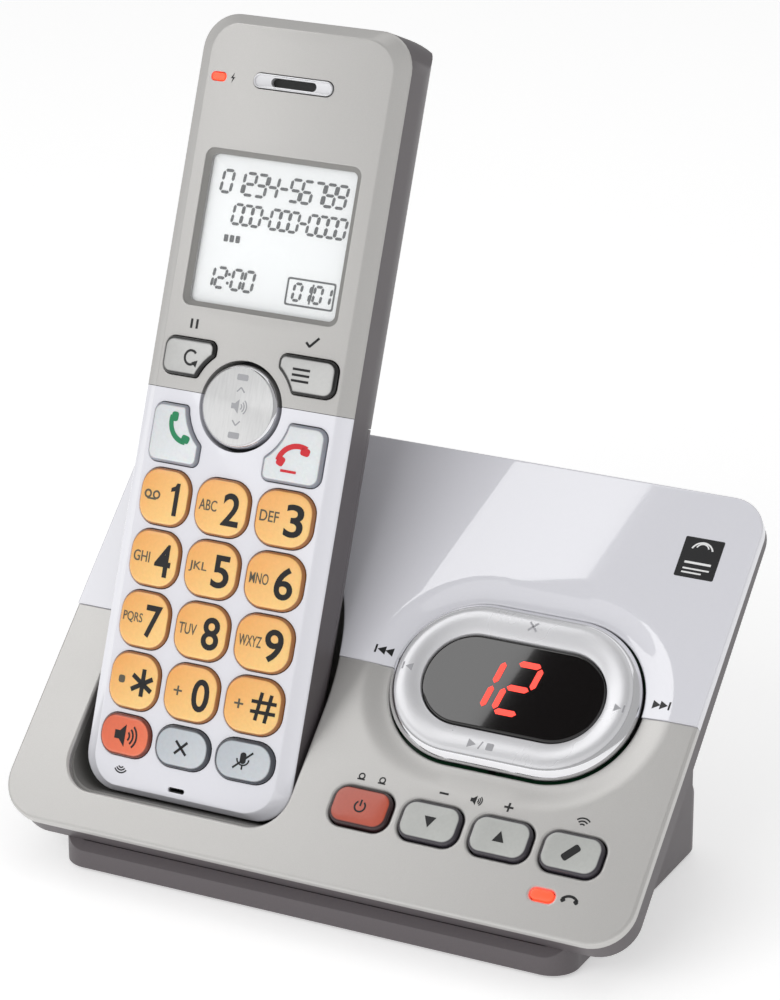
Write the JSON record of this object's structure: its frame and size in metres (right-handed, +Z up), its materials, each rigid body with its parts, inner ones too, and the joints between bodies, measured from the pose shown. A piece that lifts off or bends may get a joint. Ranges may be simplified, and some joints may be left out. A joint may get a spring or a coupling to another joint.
{
  "type": "cordless telephone with charging base",
  "caption": "Slim cordless handset standing in a sloped charging base with an answering machine, a wide display ring and a row of buttons.",
  "frame": {"origin": "middle of the whole object's footprint, on the table", "axes": "+Z up, -Y the side that the user faces, +X to the user's right"},
  "size_m": [0.1444, 0.0875, 0.1702],
  "materials": {
    "silver_paint": "satin metallic paint with a fine grain",
    "white_gloss": "glossy, slightly cool white",
    "dark_shell": "warm dark grey, fine moulded texture",
    "amber_key": "translucent amber, lighter in the middle",
    "orange_key": "translucent orange-red",
    "pale_key": "translucent pale grey",
    "clear_key": "translucent near-white",
    "smoke_key": "translucent light grey with a dark edge",
    "red_button": "translucent red-brown",
    "satin_metal": "satin silver-white with a bright bevel",
    "bright_trim": "bright plated",
    "window_clear": "clear, glossy",
    "lcd_panel": "pale blue-white panel with dark segments",
    "lens_black": "dark tinted, high gloss",
    "light_red": "translucent red",
    "circuit_board": "green solder mask",
    "key_mat": "silicone",
    "inner_black": "black moulded plastic",
    "contact_metal": "plated contact metal",
    "screw_steel": "zinc plated",
    "battery_wrap": "shrink wrap",
    "foot_rubber": "matte black rubber"
  },
  "bodies": {
    "base": {"deck_cover": "silver_paint", "white_panel": "white_gloss", "charging_cradle": "silver_paint", "deck_tray": "dark_shell", "lower_housing": "dark_shell", "display_lens": "lens_black", "digit_display": "inner_black", "base_board": "circuit_board", "button_mat": "key_mat", "in_use_light": "light_red", "base_speaker": "inner_black", "line_jack": "inner_black", "power_jack": "inner_black", "charge_contacts": "contact_metal", "rubber_feet": "foot_rubber", "base_screws": "screw_steel"},
    "handset": {"display_bezel": "silver_paint", "front_cover": "white_gloss", "back_cover": "dark_shell", "battery_pack": "battery_wrap", "handset_board": "circuit_board", "lcd_module": "lcd_panel", "display_window": "window_clear", "keypad_mat": "key_mat", "receiver": "inner_black", "receiver_grille": "bright_trim", "charge_light": "light_red", "microphone": "inner_black", "loudspeaker": "inner_black", "charge_pads": "contact_metal", "handset_screws": "screw_steel"},
    "key_1": {"key_1": "amber_key"},
    "key_2": {"key_2": "amber_key"},
    "key_3": {"key_3": "amber_key"},
    "key_4": {"key_4": "amber_key"},
    "key_5": {"key_5": "amber_key"},
    "key_6": {"key_6": "amber_key"},
    "key_7": {"key_7": "amber_key"},
    "key_8": {"key_8": "amber_key"},
    "key_9": {"key_9": "amber_key"},
    "key_star": {"key_star": "amber_key"},
    "key_0": {"key_0": "amber_key"},
    "key_hash": {"key_hash": "amber_key"},
    "speaker_key": {"speaker_key": "orange_key"},
    "delete_key": {"delete_key": "pale_key"},
    "mute_key": {"mute_key": "pale_key"},
    "talk_key": {"talk_key": "clear_key"},
    "off_key": {"off_key": "clear_key"},
    "redial_key": {"redial_key": "smoke_key"},
    "menu_key": {"menu_key": "smoke_key"},
    "volume_rocker": {"volume_rocker": "satin_metal"},
    "battery_door": {"battery_door": "dark_shell"},
    "answer_button": {"answer_button": "red_button"},
    "volume_down_button": {"volume_down_button": "pale_key"},
    "volume_up_button": {"volume_up_button": "pale_key"},
    "locator_button": {"locator_button": "pale_key"},
    "ring_frame": {"ring_frame": "inner_black"},
    "play_ring": {"play_ring": "satin_metal"}
  },
  "joints": [
    {"name": "handset_lift", "type": "slide", "parent": "base", "child": "handset", "axis": [0, 0.3665, 0.9304], "range_m": [0, 0.12]},
    {"name": "key_1_press", "type": "slide", "parent": "handset", "child": "key_1", "axis": [0, 0.9304, -0.3665], "range_m": [0, 0.0008], "stiffness_N_per_m": 1500},
    {"name": "key_2_press", "type": "slide", "parent": "handset", "child": "key_2", "axis": [0, 0.9304, -0.3665], "range_m": [0, 0.0008], "stiffness_N_per_m": 1500},
    {"name": "key_3_press", "type": "slide", "parent": "handset", "child": "key_3", "axis": [0, 0.9304, -0.3665], "range_m": [0, 0.0008], "stiffness_N_per_m": 1500},
    {"name": "key_4_press", "type": "slide", "parent": "handset", "child": "key_4", "axis": [0, 0.9304, -0.3665], "range_m": [0, 0.0008], "stiffness_N_per_m": 1500},
    {"name": "key_5_press", "type": "slide", "parent": "handset", "child": "key_5", "axis": [0, 0.9304, -0.3665], "range_m": [0, 0.0008], "stiffness_N_per_m": 1500},
    {"name": "key_6_press", "type": "slide", "parent": "handset", "child": "key_6", "axis": [0, 0.9304, -0.3665], "range_m": [0, 0.0008], "stiffness_N_per_m": 1500},
    {"name": "key_7_press", "type": "slide", "parent": "handset", "child": "key_7", "axis": [0, 0.9304, -0.3665], "range_m": [0, 0.0008], "stiffness_N_per_m": 1500},
    {"name": "key_8_press", "type": "slide", "parent": "handset", "child": "key_8", "axis": [0, 0.9304, -0.3665], "range_m": [0, 0.0008], "stiffness_N_per_m": 1500},
    {"name": "key_9_press", "type": "slide", "parent": "handset", "child": "key_9", "axis": [0, 0.9304, -0.3665], "range_m": [0, 0.0008], "stiffness_N_per_m": 1500},
    {"name": "key_star_press", "type": "slide", "parent": "handset", "child": "key_star", "axis": [0, 0.9304, -0.3665], "range_m": [0, 0.0008], "stiffness_N_per_m": 1500},
    {"name": "key_0_press", "type": "slide", "parent": "handset", "child": "key_0", "axis": [0, 0.9304, -0.3665], "range_m": [0, 0.0008], "stiffness_N_per_m": 1500},
    {"name": "key_hash_press", "type": "slide", "parent": "handset", "child": "key_hash", "axis": [0, 0.9304, -0.3665], "range_m": [0, 0.0008], "stiffness_N_per_m": 1500},
    {"name": "speaker_key_press", "type": "slide", "parent": "handset", "child": "speaker_key", "axis": [0, 0.9304, -0.3665], "range_m": [0, 0.0008], "stiffness_N_per_m": 1500},
    {"name": "delete_key_press", "type": "slide", "parent": "handset", "child": "delete_key", "axis": [0, 0.9304, -0.3665], "range_m": [0, 0.0008], "stiffness_N_per_m": 1500},
    {"name": "mute_key_press", "type": "slide", "parent": "handset", "child": "mute_key", "axis": [0, 0.9304, -0.3665], "range_m": [0, 0.0008], "stiffness_N_per_m": 1500},
    {"name": "talk_key_press", "type": "slide", "parent": "handset", "child": "talk_key", "axis": [0, 0.9304, -0.3665], "range_m": [0, 0.0008], "stiffness_N_per_m": 1500},
    {"name": "off_key_press", "type": "slide", "parent": "handset", "child": "off_key", "axis": [0, 0.9304, -0.3665], "range_m": [0, 0.0008], "stiffness_N_per_m": 1500},
    {"name": "redial_key_press", "type": "slide", "parent": "handset", "child": "redial_key", "axis": [0, 0.9304, -0.3665], "range_m": [0, 0.0008], "stiffness_N_per_m": 1500},
    {"name": "menu_key_press", "type": "slide", "parent": "handset", "child": "menu_key", "axis": [0, 0.9304, -0.3665], "range_m": [0, 0.0008], "stiffness_N_per_m": 1500},
    {"name": "volume_rocker_tilt", "type": "hinge", "parent": "handset", "child": "volume_rocker", "pos_m": [-0.0331, -0.00146, 0.09476], "axis": [1, 0, 0], "range_deg": [-3.5, 3.5], "stiffness_Nm_per_rad": 0.2},
    {"name": "battery_door_slide", "type": "slide", "parent": "handset", "child": "battery_door", "axis": [0, -0.3665, -0.9304], "range_m": [0, 0.01]},
    {"name": "answer_button_press", "type": "slide", "parent": "base", "child": "answer_button", "axis": [0, 0.6756, -0.7373], "range_m": [0, 0.0008], "stiffness_N_per_m": 2500},
    {"name": "volume_down_button_press", "type": "slide", "parent": "base", "child": "volume_down_button", "axis": [0, 0.6756, -0.7373], "range_m": [0, 0.0008], "stiffness_N_per_m": 2500},
    {"name": "volume_up_button_press", "type": "slide", "parent": "base", "child": "volume_up_button", "axis": [0, 0.6756, -0.7373], "range_m": [0, 0.0008], "stiffness_N_per_m": 2500},
    {"name": "locator_button_press", "type": "slide", "parent": "base", "child": "locator_button", "axis": [0, 0.6756, -0.7373], "range_m": [0, 0.0008], "stiffness_N_per_m": 2500},
    {"name": "ring_rock_up_down", "type": "hinge", "parent": "base", "child": "ring_frame", "pos_m": [0.0319, -0.00547, 0.04322], "axis": [1, 0, 0], "range_deg": [-1.5, 1.5], "stiffness_Nm_per_rad": 1.5},
    {"name": "ring_rock_left_right", "type": "hinge", "parent": "ring_frame", "child": "play_ring", "pos_m": [0.0319, -0.00547, 0.04322], "axis": [0, 0.7373, 0.6756], "range_deg": [-1.5, 1.5], "stiffness_Nm_per_rad": 1.5}
  ]
}
